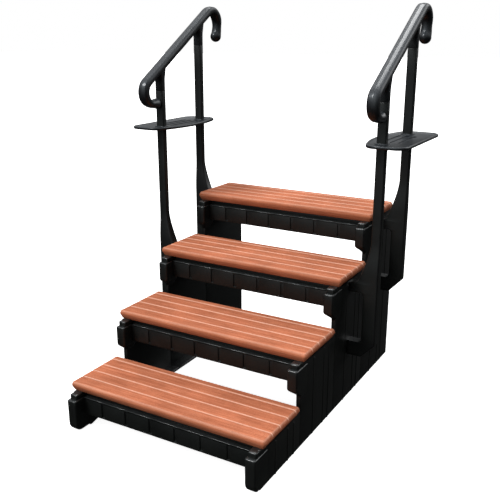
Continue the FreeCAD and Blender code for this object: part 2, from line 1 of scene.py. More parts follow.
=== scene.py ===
import math
import bmesh
import bpy
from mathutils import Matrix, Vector


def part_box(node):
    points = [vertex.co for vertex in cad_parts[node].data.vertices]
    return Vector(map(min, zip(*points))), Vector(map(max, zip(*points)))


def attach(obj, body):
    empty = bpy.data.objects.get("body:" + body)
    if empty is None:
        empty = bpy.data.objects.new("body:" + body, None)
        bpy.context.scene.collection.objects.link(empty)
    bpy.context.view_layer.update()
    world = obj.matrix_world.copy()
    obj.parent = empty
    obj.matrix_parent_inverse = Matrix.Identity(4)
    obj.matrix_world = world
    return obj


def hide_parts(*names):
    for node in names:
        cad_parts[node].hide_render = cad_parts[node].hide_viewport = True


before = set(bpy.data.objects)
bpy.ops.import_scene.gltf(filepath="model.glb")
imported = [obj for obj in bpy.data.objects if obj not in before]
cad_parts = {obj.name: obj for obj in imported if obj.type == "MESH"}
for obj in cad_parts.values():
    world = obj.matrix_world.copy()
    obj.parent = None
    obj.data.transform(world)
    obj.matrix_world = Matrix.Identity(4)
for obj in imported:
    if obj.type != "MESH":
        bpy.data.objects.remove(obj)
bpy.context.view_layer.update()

mm = 0.001
tiers = (1, 2, 3, 4)
sides = {"right": 1, "left": -1}
postTiers = {"front": 3, "rear": 4}
scene = bpy.context.scene
scene.view_settings.view_transform = "Standard"


class Signal:
    # one socket of a node tree; arithmetic on it adds Math nodes
    def __init__(self, tree, socket=None):
        self.tree = tree
        self.socket = socket

    def node(self, kind, settings=None, inputs=None, output=0):
        made = self.tree.nodes.new(kind)
        for name, value in (settings or {}).items():
            if name == "stops":
                fillRamp(made.color_ramp, value)
            else:
                setattr(made, name, value)
        for key, value in (inputs or {}).items():
            if isinstance(value, Signal):
                self.tree.links.new(value.socket, made.inputs[key])
            else:
                made.inputs[key].default_value = value
        return None if output is None else Signal(self.tree, made.outputs[output])

    def math(self, operation, *values):
        return self.node("ShaderNodeMath", {"operation": operation}, dict(enumerate(values)))

    def __add__(self, other):
        return self.math("ADD", self, other)

    def __radd__(self, other):
        return self.math("ADD", other, self)

    def __sub__(self, other):
        return self.math("SUBTRACT", self, other)

    def __rsub__(self, other):
        return self.math("SUBTRACT", other, self)

    def __mul__(self, other):
        return self.math("MULTIPLY", self, other)

    def __rmul__(self, other):
        return self.math("MULTIPLY", other, self)

    def __truediv__(self, other):
        return self.math("DIVIDE", self, other)

    def __neg__(self):
        return self.math("MULTIPLY", self, -1.0)

    def clip(self, low, high):
        return self.math("MINIMUM", self.math("MAXIMUM", self, low), high)

    def soft(self):
        # smoothstep of a value already kept to 0..1
        return self * self * (3.0 - 2.0 * self)

    def peak(self, half):
        # 1 where the value is nought, falling softly to 0 on both sides
        return (1.0 - self.math("ABSOLUTE", self) / half).clip(0.0, 1.0).soft()


def fillRamp(ramp, stops):
    while len(ramp.elements) > 1:
        ramp.elements.remove(ramp.elements[-1])
    ramp.elements[0].position, ramp.elements[0].color = stops[0][0], stops[0][1]
    for place, colour in stops[1:]:
        ramp.elements.new(place).color = colour


def grey(value):
    return (value, value, value, 1.0)


class Finish(Signal):
    # a material being written: its tree, its shader and the patterns most finishes share
    def __init__(self, name, fixed):
        self.material = bpy.data.materials.new(name)
        self.material.use_nodes = True
        super().__init__(self.material.node_tree)
        self.tree.nodes.clear()
        self.shader = self.tree.nodes.new("ShaderNodeBsdfPrincipled")
        for key, value in fixed.items():
            self.shader.inputs[key].default_value = value
        out = self.tree.nodes.new("ShaderNodeOutputMaterial")
        self.tree.links.new(self.shader.outputs[0], out.inputs["Surface"])
        self.place = self.node("ShaderNodeTexCoord", output="Object")

    def feed(self, key, signal):
        self.tree.links.new(signal.socket, self.shader.inputs[key])

    def noise(self, scale, stretch=(1.0, 1.0, 1.0), detail=4.0, roughness=0.55):
        where = self.node("ShaderNodeMapping", inputs={"Vector": self.place, "Scale": stretch})
        return self.node("ShaderNodeTexNoise", {"noise_dimensions": "3D"},
                         {"Vector": where, "Scale": scale, "Detail": detail, "Roughness": roughness})

    def ramp(self, value, *stops):
        return self.node("ShaderNodeValToRGB", {"stops": stops}, {"Fac": value})

    def blend(self, factor, first, second, how="MIX"):
        return self.node("ShaderNodeMix", {"data_type": "RGBA", "blend_type": how},
                         {0: factor, 6: first, 7: second}, output=2)

    def bump(self, height, strength, distance, under=None):
        inputs = {"Height": height, "Strength": strength, "Distance": distance}
        if under:
            inputs["Normal"] = under
        return self.node("ShaderNodeBump", inputs=inputs)

    def facingUp(self):
        normal = self.node("ShaderNodeNewGeometry", output="Normal")
        return self.node("ShaderNodeSeparateXYZ", inputs={0: normal}, output=2)


redwoodLook = {
    "light": (0.640, 0.236, 0.128, 1.0),
    "mid": (0.520, 0.168, 0.082, 1.0),
    "dark": (0.395, 0.112, 0.050, 1.0),
    # the deep brown of the painted groove shade, and the pale pink of the painted edge highlight
    "groove": (0.160, 0.040, 0.018, 1.0),
    "rubbed": (0.860, 0.520, 0.390, 1.0),
    "speck": (0.230, 0.060, 0.026, 1.0),
    "streakScale": 5.0, "fleckScale": 260.0, "speckScale": 520.0, "cloudScale": 7.0,
    "fleckAmount": 0.22, "speckAmount": 0.55, "grooveShadeAmount": 0.75, "highlightAmount": 0.35, "highlightFleck": 0.9,
    "roughness": 0.58, "fleckRoughness": 0.18, "specular": 0.12,
}


def redwoodPlastic():
    # wood-filled plastic: long streaks along the plank, fine flecks, painted shade in the grooves and a
    # painted highlight along the plank edges and the nose
    look = redwoodLook
    f = Finish("redwoodPlastic", {"Specular IOR Level": look["specular"], "Metallic": 0.0})
    streak = f.noise(look["streakScale"], (1.2, 26.0, 26.0), 6.0, 0.62)
    colour = f.ramp(streak, (0.30, look["dark"]), (0.50, look["mid"]), (0.72, look["light"]))
    fleck = f.noise(look["fleckScale"], (0.35, 1.0, 1.0), 2.0)
    flecked = f.ramp(fleck, (0.42, grey(0.0)), (0.70, grey(look["fleckAmount"])))
    colour = f.blend(flecked, colour, look["light"])
    speck = f.noise(look["speckScale"], (0.5, 1.0, 1.0), 1.0)
    specked = f.ramp(speck, (0.56, grey(0.0)), (0.74, grey(look["speckAmount"])))
    colour = f.blend(specked, colour, look["speck"])
    cloud = f.ramp(f.noise(look["cloudScale"], detail=3.0), (0.35, grey(0.86)), (0.68, grey(1.10)))
    colour = f.blend(1.0, colour, cloud, "MULTIPLY")
    # painted shade: the grooves, the fine ribs and the lower nose are darkened toward a deep brown
    depth = f.node("ShaderNodeAttribute", {"attribute_name": "ribDepth"}, output="Fac")
    colour = f.blend(depth * look["grooveShadeAmount"], colour, look["groove"])
    # painted highlight: the front edge of each plank and the nose are lightened toward pale pink, broken by
    # the flecks
    rubbed = f.node("ShaderNodeAttribute", {"attribute_name": "rubbedEdge"}, output="Fac")
    rubbed = rubbed * (look["highlightAmount"] + look["highlightFleck"] * fleck)
    colour = f.blend(rubbed.clip(0.0, 1.0), colour, look["rubbed"])
    f.feed("Base Color", colour)
    f.feed("Roughness", look["roughness"] + look["fleckRoughness"] * fleck)
    grain = f.bump(fleck, 0.25, 0.0006)
    f.feed("Normal", f.bump(streak, 0.2, 0.0012, grain))
    return f.material


mouldedLook = {                                  # fine texture, for the frames, rails and posts
    "specular": 0.30, "tint": (0.88, 0.97, 1.0, 1.0), "coatRoughness": 0.16, "coat": 0.02, "coatUp": 0.75,
    "dark": (0.0036, 0.0040, 0.0037, 1.0), "light": (0.0066, 0.0071, 0.0064, 1.0),
    "patchScale": 9.0, "patchDetail": 5.0,
    "dustAndSheen": (0.13, 0.145, 0.155, 1.0), "dustAndSheenEven": 0.02, "dustAndSheenPatch": 0.10,
    "grainScale": 900.0, "grainDetail": 2.0, "grainStrength": 0.15, "grainHeight": 0.0003,
    "rippleScale": 26.0, "rippleStretch": (0.6, 1.0, 1.0), "rippleStrength": 0.12, "rippleHeight": 0.002,
}
satinLook = {                                    # smoother, for the handrails and trays
    "specular": 0.40, "tint": (0.84, 0.93, 1.0, 1.0), "coatRoughness": 0.14, "coat": 0.04, "coatUp": 0.50,
    "dark": (0.0040, 0.0044, 0.0050, 1.0), "light": (0.0075, 0.0082, 0.0092, 1.0),
    "patchScale": 12.0, "patchDetail": 4.0,
    "dustAndSheen": (0.10, 0.125, 0.16, 1.0), "dustAndSheenEven": 0.04, "dustAndSheenPatch": 0.16,
    "grainScale": 1300.0, "grainDetail": 1.0, "grainStrength": 0.12, "grainHeight": 0.0002,
    "rippleScale": 12.0, "rippleStretch": (1.0, 1.0, 1.0), "rippleStrength": 0.10, "rippleHeight": 0.003,
}


def blackPlastic(name, look):
    # black plastic: fine grain over the mould's slow ripple, and faint dust with a painted sky sheen on what
    # faces up
    f = Finish(name, {"Specular IOR Level": look["specular"], "Specular Tint": look["tint"],
                      "Coat Roughness": look["coatRoughness"]})
    patch = f.noise(look["patchScale"], detail=look["patchDetail"])
    colour = f.ramp(patch, (0.30, look["dark"]), (0.70, look["light"]))
    up = f.facingUp().clip(0.0, 1.0).soft()
    # dust with a painted sky sheen: faces that look up are lightened toward blue-grey
    colour = f.blend(up * (patch * look["dustAndSheenPatch"] + look["dustAndSheenEven"]), colour, look["dustAndSheen"])
    f.feed("Base Color", colour)
    f.feed("Roughness", 0.36 + 0.18 * patch)
    f.feed("Coat Weight", look["coat"] + look["coatUp"] * up)
    ripple = f.noise(look["rippleScale"], look["rippleStretch"])
    ripple = f.bump(ripple, look["rippleStrength"], look["rippleHeight"])
    grain = f.noise(look["grainScale"], detail=look["grainDetail"])
    f.feed("Normal", f.bump(grain, look["grainStrength"], look["grainHeight"], ripple))
    return f.material


def turnedSteel(name, light, dark, rough):
    f = Finish(name, {"Metallic": 1.0})
    brushed = f.noise(420.0, (1.0, 0.12, 1.0), 3.0)
    stain = f.noise(60.0, detail=4.0)
    f.feed("Base Color", f.ramp(stain * 0.6 + brushed * 0.4, (0.35, dark), (0.65, light)))
    f.feed("Roughness", rough + 0.22 * stain)
    f.feed("Normal", f.bump(brushed, 0.2, 0.0002))
    return f.material


finishes = {
    "redwood_plastic": redwoodPlastic(),
    "black_plastic": blackPlastic("mouldedBlack", mouldedLook),
    "black_satin_plastic": blackPlastic("satinBlack", satinLook),
    "blackened_steel": turnedSteel("blackenedSteel", (0.070, 0.072, 0.076, 1.0), (0.030, 0.030, 0.033, 1.0),
                                   0.34),
    "zinc_steel": turnedSteel("zincSteel", (0.62, 0.63, 0.64, 1.0), (0.40, 0.40, 0.38, 1.0), 0.24),
}
print("finishes ready:", len(finishes))


def settle(bm, sharpAngle=38.0):
    bmesh.ops.recalc_face_normals(bm, faces=bm.faces)
    mesh = bpy.data.meshes.new("shape")
    bm.to_mesh(mesh)
    bm.free()
    mesh.shade_smooth()
    mesh.set_sharp_from_angle(angle=math.radians(sharpAngle))
    return mesh


def piece(name, mesh, slot, *nodes):
    made = bpy.data.objects.new(name, mesh)
    scene.collection.objects.link(made)
    mesh.materials.clear()
    mesh.materials.append(finishes[slot])
    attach(made, "root")
    if nodes:
        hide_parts(*nodes)
    return made


def roundEdges(bm, edges, rounding, steps=2):
    bmesh.ops.bevel(bm, geom=edges, offset=rounding, segments=steps, profile=0.5, affect="EDGES",
                    clamp_overlap=True)


def prism(bm, outline, z, rounding, steps=2):
    # a closed upright solid on an outline of X and Y, with its edges rounded
    ends = [[bm.verts.new((x, y, level)) for x, y in outline] for level in z]
    count = len(outline)
    faces = [bm.faces.new(ends[0]), bm.faces.new(ends[1][::-1])]
    for k in range(count):
        n = (k + 1) % count
        faces.append(bm.faces.new((ends[0][k], ends[1][k], ends[1][n], ends[0][n])))
    bmesh.ops.recalc_face_normals(bm, faces=faces)
    if rounding > 0:
        edges = dict.fromkeys(e for f in faces for e in f.edges if e.calc_face_angle(0.0) > math.radians(25))
        roundEdges(bm, list(edges), rounding, steps)


def block(bm, x, y, z, rounding, steps=2):
    x, y, z = sorted(x), sorted(y), sorted(z)
    prism(bm, [(x[0], y[0]), (x[1], y[0]), (x[1], y[1]), (x[0], y[1])], z, rounding, steps)


def arc(centre, radius, start, stop, count):
    turns = [math.radians(start + (stop - start) * k / count) for k in range(count + 1)]
    return [(centre[0] + radius * math.cos(t), centre[1] + radius * math.sin(t)) for t in turns]


def skin(bm, rings, capped=True):
    # joins rings of equal length into one surface
    rows = [[bm.verts.new(p) for p in ring] for ring in rings]
    count = len(rows[0])
    for near, far in zip(rows, rows[1:]):
        for k in range(count):
            n = (k + 1) % count
            bm.faces.new((near[k], near[n], far[n], far[k]))
    if capped:
        bm.faces.new(rows[0][::-1])
        bm.faces.new(rows[-1])


cornerSteps = 6


def roundedRing(x, y, corner, z):
    # a rounded rectangle across Z, as a ring of points
    radius = min(corner, (x[1] - x[0]) / 2 - 0.1 * mm, (y[1] - y[0]) / 2 - 0.1 * mm)
    ring = []
    for cx, cy, start in ((x[1] - radius, y[1] - radius, 0), (x[0] + radius, y[1] - radius, 90),
                          (x[0] + radius, y[0] + radius, 180), (x[1] - radius, y[0] + radius, 270)):
        ring += [(px, py, z) for px, py in arc((cx, cy), radius, start, start + 90, cornerSteps)]
    return ring


def ease(value):
    value = min(1.0, max(0.0, value))
    return value * value * (3 - 2 * value)


def grownBy(tree, sizes):
    # runs a rule and returns the plain mesh it makes
    carrier = bpy.data.objects.new("carrier", bpy.data.meshes.new("empty"))
    scene.collection.objects.link(carrier)
    modifier = carrier.modifiers.new("rule", "NODES")
    modifier.node_group = tree
    for item in tree.interface.items_tree:
        if item.item_type == "SOCKET" and item.in_out == "INPUT" and item.name in sizes:
            modifier[item.identifier] = sizes[item.name]
    view = bpy.context.evaluated_depsgraph_get()
    mesh = bpy.data.meshes.new_from_object(carrier.evaluated_get(view), preserve_all_data_layers=True,
                                           depsgraph=view)
    carrier.modifiers.remove(modifier)
    bpy.data.objects.remove(carrier)
    return mesh


class Rule(Signal):
    # a Geometry Nodes tree with named inputs for its sizes
    def __init__(self, name, **sizes):
        super().__init__(bpy.data.node_groups.new(name, "GeometryNodeTree"))
        face = self.tree.interface
        face.new_socket("Geometry", in_out="INPUT", socket_type="NodeSocketGeometry")
        face.new_socket("Geometry", in_out="OUTPUT", socket_type="NodeSocketGeometry")
        kinds = {int: "NodeSocketInt", float: "NodeSocketFloat"}
        for label, value in sizes.items():
            face.new_socket(label, in_out="INPUT", socket_type=kinds[type(value)]).default_value = value
        self.entry = self.tree.nodes.new("NodeGroupInput")
        self.exit = self.tree.nodes.new("NodeGroupOutput")

    def size(self, label):
        return Signal(self.tree, self.entry.outputs[label])

    def vector(self, x=0.0, y=0.0, z=0.0):
        return self.node("ShaderNodeCombineXYZ", inputs={0: x, 1: y, 2: z})

    def join(self, *parts):
        made = self.tree.nodes.new("GeometryNodeJoinGeometry")
        for part in parts:
            self.tree.links.new(part.socket, made.inputs[0])
        return Signal(self.tree, made.outputs[0])

    def repeat(self, item, number, first, step):
        # copies of an item along a straight line
        line = self.node("GeometryNodeMeshLine", {"mode": "OFFSET"},
                         {"Count": number, "Start Location": first, "Offset": step})
        return self.node("GeometryNodeInstanceOnPoints", inputs={"Points": line, "Instance": item})

    def row(self, item, middle):
        # a row of the rule's count and pitch, centred on a place along X
        first = middle - (self.size("count") - 1.0) * self.size("pitch") / 2.0
        return self.repeat(item, self.size("count"), self.vector(first, self.size("y"), self.size("z")),
                           self.vector(self.size("pitch")))

    def end(self, geometry, material):
        real = self.node("GeometryNodeRealizeInstances", inputs={0: geometry})
        done = self.node("GeometryNodeSetMaterial", inputs={"Geometry": real, "Material": material})
        self.tree.links.new(done.socket, self.exit.inputs[0])
        return self.tree


ribbedTread = {
    "edgeReach": 12 * mm, "bulge": 18 * mm, "undercut": 11 * mm, "lip": 5 * mm, "topSkin": 15 * mm,
    "plankPitch": 62.7 * mm, "grooveHalf": 5.0 * mm, "grooveDepth": 5.0 * mm,
    "bandEnd": 20.5 * mm, "bandCrown": 0.7 * mm,
    "ribPitch": 7.8 * mm, "ribHalf": 1.9 * mm, "ribDepth": 1.5 * mm, "ribs": 5,
    "rows": 412, "columns": 18, "edgeSteps": 9, "crossRibs": 5, "longRibs": 4, "ribThickness": 4 * mm,
    "grooveShade": 3.4 * mm, "grooveShadeBack": 1.2 * mm, "fineShade": 0.4,
    "footShade": 0.42, "footShadeFrom": 0.62, "footShadeOver": 0.30,
    # where the painted highlight lies along each plank's front edge and along the nose, and how strong it is
    "highlightHalf": 2.4 * mm, "highlightAhead": 3.9 * mm, "noseHighlight": 0.35, "noseHighlightAt": 0.36, "noseHighlightHalf": 0.34,
}


def treadRule():
    s = ribbedTread
    r = Rule("ribbedTreadRule", width=0.914, depth=0.292, thickness=0.039, front=0.0, top=0.204,
             plankPitch=s["plankPitch"], ribPitch=s["ribPitch"], grooveDepth=s["grooveDepth"],
             ribDepth=s["ribDepth"])
    width, depth, thickness = r.size("width"), r.size("depth"), r.size("thickness")
    front, top, pitch, ribPitch = r.size("front"), r.size("top"), r.size("plankPitch"), r.size("ribPitch")
    steps = s["edgeSteps"]
    # rows below the rounded edge: height above the foot and share of the undercut; None is inside the lip
    below = ((2.2 * mm, 0.9), (0.0, 1.06), (0.0, None), (None, None))
    wrap = steps + len(below)                    # rows of the grid that fold down over each edge
    counts = {"X": s["columns"] + 2 * wrap + 1, "Y": s["rows"] + 2 * wrap + 1}
    grid = r.node("GeometryNodeMeshGrid", inputs={"Size X": counts["X"] - 1.0, "Size Y": counts["Y"] - 1.0,
                                                  "Vertices X": counts["X"], "Vertices Y": counts["Y"]})
    start = r.node("GeometryNodeInputPosition")

    def along(output, number, segments):
        # how far along the flat part a point is (0..1), how many steps it is past it, and on which side
        where = r.node("ShaderNodeSeparateXYZ", inputs={0: start}, output=output)
        index = r.math("ROUND", where + ((number - 1) / 2.0 - wrap))
        before, after = (-index).clip(0.0, wrap + 0.0), (index - segments).clip(0.0, wrap + 0.0)
        flat = index.clip(0.0, segments + 0.0) / (segments + 0.0)
        return flat, before + after, r.math("SIGN", after - before)

    u, pastX, sideX = along(0, counts["X"], s["columns"])
    v, pastY, sideY = along(1, counts["Y"], s["rows"])
    reach = s["edgeReach"]
    x = (u - 0.5) * (width - 2 * reach)
    y = reach + v * (depth - 2 * reach)

    # the edge: over the rounded top, out to the bulge, in to the foot, and up again inside
    past = r.math("MAXIMUM", pastX, pastY)
    length = r.math("SQRT", pastX * pastX + pastY * pastY + 0.000001)
    towardsX, towardsY = sideX * (pastX / length), sideY * (pastY / length)
    turned = (past / (steps + 0.0)).clip(0.0, 1.0)
    angle = turned * (math.pi / 2)
    lean, upright = r.math("SINE", angle), r.math("COSINE", angle)
    out = lean * reach
    level = s["bulge"] * (upright - 1.0)
    for k, (above, share) in enumerate(below, start=1):
        here = r.math("COMPARE", past, steps + k + 0.0, 0.1)
        outK = reach - s["undercut"] * share if share else reach - s["undercut"] - s["lip"]
        levelK = -s["topSkin"] if above is None else above - thickness
        out = out + here * (outK - out)
        level = level + here * (levelK - level)

    # plank grooves, and the finer grooves between them
    plank = r.math("ROUND", y / pitch)
    off = y - plank * pitch
    isPlank = plank.clip(0.0, 1.0)
    groove = off.peak(s["grooveHalf"]) * isPlank
    local = y - r.math("FLOOR", y / pitch) * pitch
    count = (local - (s["bandEnd"] + s["ribHalf"])) / ribPitch
    nearest = r.math("ROUND", count).clip(0.0, s["ribs"] - 1.0)
    fine = ((count - nearest) * ribPitch).peak(s["ribHalf"])
    bandMiddle = (s["grooveHalf"] + s["bandEnd"]) / 2
    hump = ((local - bandMiddle) / (s["bandEnd"] - bandMiddle)).clip(-1.0, 1.0)
    sunk = groove * r.size("grooveDepth") + fine * r.size("ribDepth") + s["bandCrown"] * hump * hump
    fade = 1.0 - turned * turned * turned * turned
    sunk = sunk * fade

    # how dark the painted shade is in a groove, over the fine ribs and on the lower nose, and how bright the
    # painted highlight is on the front edge of each plank and of the nose
    dark = (off + s["grooveShadeBack"]).peak(s["grooveShade"]) * isPlank
    dark = (dark + fine * s["fineShade"]).clip(0.0, 1.0) * fade
    dark = dark + s["footShade"] * ((turned - s["footShadeFrom"]) / s["footShadeOver"]).clip(0.0, 1.0)
    plankHighlight = (off - s["highlightAhead"]).peak(s["highlightHalf"]) * isPlank * fade
    noseHighlight = (turned - s["noseHighlightAt"]).peak(s["noseHighlightHalf"])
    shell = grid
    for label, value in (("ribDepth", dark), ("rubbedEdge", plankHighlight + noseHighlight * s["noseHighlight"])):
        shell = r.node("GeometryNodeStoreNamedAttribute", {"data_type": "FLOAT", "domain": "POINT"},
                       {"Geometry": shell, "Name": label, "Value": value})
    spread = out - sunk * lean
    place = r.vector(x + towardsX * spread, front + y + towardsY * spread, top + level - sunk * upright)
    shell = r.node("GeometryNodeSetPosition", inputs={"Geometry": shell, "Position": place})

    # the stiffening grid underneath
    height = thickness - s["topSkin"] - 2 * mm
    middle = top - s["topSkin"] - height / 2.0
    inside = 2 * (s["undercut"] + s["lip"] / 2)
    rowStep = depth / (s["longRibs"] + 1.0)
    bayStep = width / (s["crossRibs"] + 1.0)
    bars = []
    for size, number, first, step in (
            (r.vector(width - inside, s["ribThickness"], height), s["longRibs"],
             r.vector(0.0, front + rowStep, middle), r.vector(0.0, rowStep, 0.0)),
            (r.vector(s["ribThickness"], depth - inside, height), s["crossRibs"],
             r.vector(bayStep - width / 2.0, front + depth / 2.0, middle), r.vector(bayStep, 0.0, 0.0))):
        bars.append(r.repeat(r.node("GeometryNodeMeshCube", inputs={"Size": size}), number, first, step))
    return r.end(r.join(shell, *bars), finishes["redwood_plastic"])


def closeShell(mesh):
    bm = bmesh.new()
    bm.from_mesh(mesh)
    rim = [e for e in bm.edges if e.is_boundary]
    filled = bmesh.ops.holes_fill(bm, edges=rim, sides=0)["faces"]
    bmesh.ops.triangulate(bm, faces=filled)
    return settle(bm, 50.0)


def makeTreads():
    rule = treadRule()
    for tier in tiers:
        lo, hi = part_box("tread_%d" % tier)
        mesh = grownBy(rule, {"width": hi[0] - lo[0], "depth": hi[1] - lo[1], "thickness": hi[2] - lo[2],
                              "front": lo[1], "top": hi[2]})
        piece("ribbedTread%d" % tier, closeShell(mesh), "redwood_plastic", "tread_%d" % tier)
    print("treads made")


faceBlocks = {
    "pitch": 120 * mm, "groove": 13 * mm, "whole": 5, "height": 76 * mm, "strip": 8 * mm, "proud": 5 * mm,
    "rounding": 2.2 * mm, "lipStrip": 8 * mm, "wall": 5 * mm, "depth": 40 * mm, "neckBack": 18 * mm,
    "flange": 34 * mm, "plateEdge": 0.8 * mm, "lap": 1 * mm,
    "shy": 0.3 * mm,                             # keeps the plates' corners from falling on each other
}


def blockRowRule():
    # a row of equal raised blocks centred on X = 0
    r = Rule("faceBlockRow", count=5, pitch=0.12, width=0.107, deep=0.006, high=0.07, y=0.0, z=0.0)
    size = r.vector(r.size("width"), r.size("deep"), r.size("high"))
    return r.end(r.row(r.node("GeometryNodeMeshCube", inputs={"Size": size}), 0.0), finishes["black_plastic"])


def makeFrontRails():
    s = faceBlocks
    rule = blockRowRule()
    wall, shy, lap, edge = s["wall"], s["shy"], s["lap"], s["plateEdge"]
    reach = s["pitch"] * s["whole"] / 2 + s["groove"] / 2
    for tier in tiers:
        lo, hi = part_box("front_rail_%d" % tier)
        half, face = hi[0], lo[1]
        low, top, seat = lo[2], lo[2] + s["height"], hi[2]
        front, neck, back = face + s["proud"], face + s["neckBack"], face + s["depth"]
        backOfBlock = front + lap
        row = grownBy(rule, {"count": s["whole"], "pitch": s["pitch"], "width": s["pitch"] - s["groove"],
                             "deep": backOfBlock - face, "high": top - low, "y": (face + backOfBlock) / 2,
                             "z": (low + top) / 2})
        bm = bmesh.new()
        bm.from_mesh(row)
        roundEdges(bm, bm.edges[:], s["rounding"], 3)
        for side in sides.values():
            block(bm, (side * reach, side * half), (face, backOfBlock), (low, top), s["rounding"], 3)
        inset = half - 0.5 * mm
        block(bm, (-inset, inset), (face + lap, backOfBlock), (low, low + s["strip"]), 1.2 * mm)
        block(bm, (-half, half), (face, backOfBlock), (top - s["lipStrip"], top), 2.4 * mm, 3)
        # the plates behind: face, ledge, neck, flange under the tread, bottom and the two ends
        block(bm, (-half, half), (front, front + wall), (low, top - lap), edge)
        block(bm, (-half, half), (front, neck + wall), (top - wall, top), 1.2 * mm)
        block(bm, (-half, half), (neck, neck + wall), (top - 2 * lap, seat), edge)
        block(bm, (shy - half, half - shy), (neck + shy, neck + s["flange"]), (seat - wall, seat), edge)
        block(bm, (2 * shy - half, half - 2 * shy), (front + 2 * shy, back), (low + shy, low + wall), edge)
        for side in sides.values():
            block(bm, (side * (half - shy), side * (half - wall)), (front + shy, back - shy),
                  (low + 2 * shy, top - 2 * shy), edge)
        piece("facedRail%d" % tier, settle(bm), "black_plastic", "front_rail_%d" % tier)
    print("front rails made")


panelSizes = {
    "columnFront": 43 * mm, "columnBack": 50 * mm, "columnInside": 398 * mm, "columnOutside": 443 * mm,
    "columnProud": 2 * mm, "columnCorner": 8 * mm, "ledgeDrop": 61 * mm,
    "noseDrop": 153 * mm, "noseChamfer": 34 * mm, "noseBend": 12 * mm, "noseSlices": 15,
    "toe": 40 * mm, "toeTuck": 9 * mm, "toeTuckTo": 14 * mm,
    "toeShares": (0.0, 0.04, 0.1, 0.2, 0.32, 0.46, 0.62, 0.8, 1.0),
    "taper": 105 * mm, "taperDrop": 77 * mm, "neckInset": 5 * mm, "neckBack": 16 * mm, "neckEdge": 6 * mm,
    "seat": 12 * mm, "seatEnd": 56 * mm, "wall": 20 * mm, "setBack": -2 * mm,
    "flange": 50 * mm, "flangeThickness": 12 * mm, "edge": 2.5 * mm,
    "ribOffsets": (112 * mm, 212 * mm, 262 * mm), "outerRib": 8 * mm, "outerRibHeight": 1.5 * mm,
    # each slice's drop below the ledge, and how far it is tucked in
    "ledgeEdge": ((30 * mm, 0.0), (5 * mm, 0.0), (2.6 * mm, 0.6 * mm), (1.0 * mm, 2.0 * mm),
                  (0.2 * mm, 3.8 * mm), (0.0, 5.0 * mm)),
}


def columnRings(tier, frontY, ledge, leg, low):
    # level slices of one column: its toe is rounded on the floor, and a nose is drawn in to the wall below it
    s = panelSizes
    inside, outside, proud = s["columnInside"], s["columnOutside"], s["columnProud"]
    slices = []
    if tier == 1:
        toe = s["toe"]
        for share in s["toeShares"]:
            z = toe * share
            back = toe - math.sqrt(max(0.0, toe ** 2 - (toe - z) ** 2))
            tuck = s["toeTuck"] * (1 - min(1.0, z / s["toeTuckTo"])) ** 2
            slices.append((z, frontY + back, inside + tuck, outside - tuck))
    else:
        bottom = low - s["noseChamfer"]
        wallX = outside - proud - s["wall"]
        for k in range(s["noseSlices"]):
            share = k / (s["noseSlices"] - 1)
            drawn = 1 - ease(share)
            slices.append((bottom + (low + s["noseBend"] - bottom) * share, frontY + (leg - frontY) * drawn,
                           inside + (wallX - inside) * drawn, outside - proud * drawn))
    for drop, tuck in s["ledgeEdge"]:
        slices.append((ledge - drop, frontY + tuck, inside + tuck, outside - tuck))
    return slices


def makeSidePanels():
    s = panelSizes
    inside, corner, lap = s["columnInside"], s["columnCorner"], 1 * mm
    outer = s["columnOutside"] - s["columnProud"]
    inner = outer - s["wall"]
    for sideName, side in sides.items():
        for tier in tiers:
            node = "side_panel_%s_%d" % (sideName, tier)
            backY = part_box(node)[1][1]
            (_, y0, under), (_, treadBack, top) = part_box("tread_%d" % tier)
            ledge, frontY = top - s["ledgeDrop"], y0 + s["setBack"]
            columnFront, columnBack = y0 - s["columnFront"], y0 + s["columnBack"]
            bm = bmesh.new()
            rings = []
            for z, ringY, innerX, outerX in columnRings(tier, columnFront, ledge, frontY,
                                                        top - s["noseDrop"]):
                ring = roundedRing((innerX, outerX), (ringY, columnBack + corner), corner, z)
                rings.append([(side * px, min(py, columnBack), pz) for px, py, pz in ring])
            skin(bm, rings)
            if tier == 1:                        # the column runs back into the wall in a long wedge
                wedge = [(side * px, py) for px, py in (
                    (inside + lap, columnBack - 12 * mm), (inner + 4 * mm, columnBack - 12 * mm),
                    (inner + 4 * mm, columnBack + s["taper"]), (inner, columnBack + s["taper"]),
                    (inside + 0.3 * mm, columnBack - 2 * mm))]
                prism(bm, wedge, (0.5 * mm, ledge - s["taperDrop"]), 0.0)
            block(bm, (side * (inside + s["neckInset"]), side * (outer - 2 * mm)),
                  (columnFront + s["neckBack"], columnBack), (ledge - 8 * mm, under - 0.5 * mm),
                  s["neckEdge"], 4)
            block(bm, (side * inside, side * outer), (columnBack - lap, treadBack - s["seatEnd"]),
                  (under - s["seat"], under), 1.2 * mm)
            block(bm, (side * inner, side * outer), (frontY, backY), (0.0, under), s["edge"], 3)
            if tier > 1:
                block(bm, (side * (inner - s["flange"]), side * (inner + 4 * mm)), (frontY, backY),
                      (0.0, s["flangeThickness"]), s["edge"], 3)
            for offset in s["ribOffsets"]:
                block(bm, (side * (outer - lap), side * (outer + s["outerRibHeight"])),
                      (y0 + offset, y0 + offset + s["outerRib"]), (0.0, ledge), 1.0 * mm)
            piece("framePanel%s%d" % (sideName.title(), tier), settle(bm, 45.0), "black_plastic", node)
    print("side panels made")


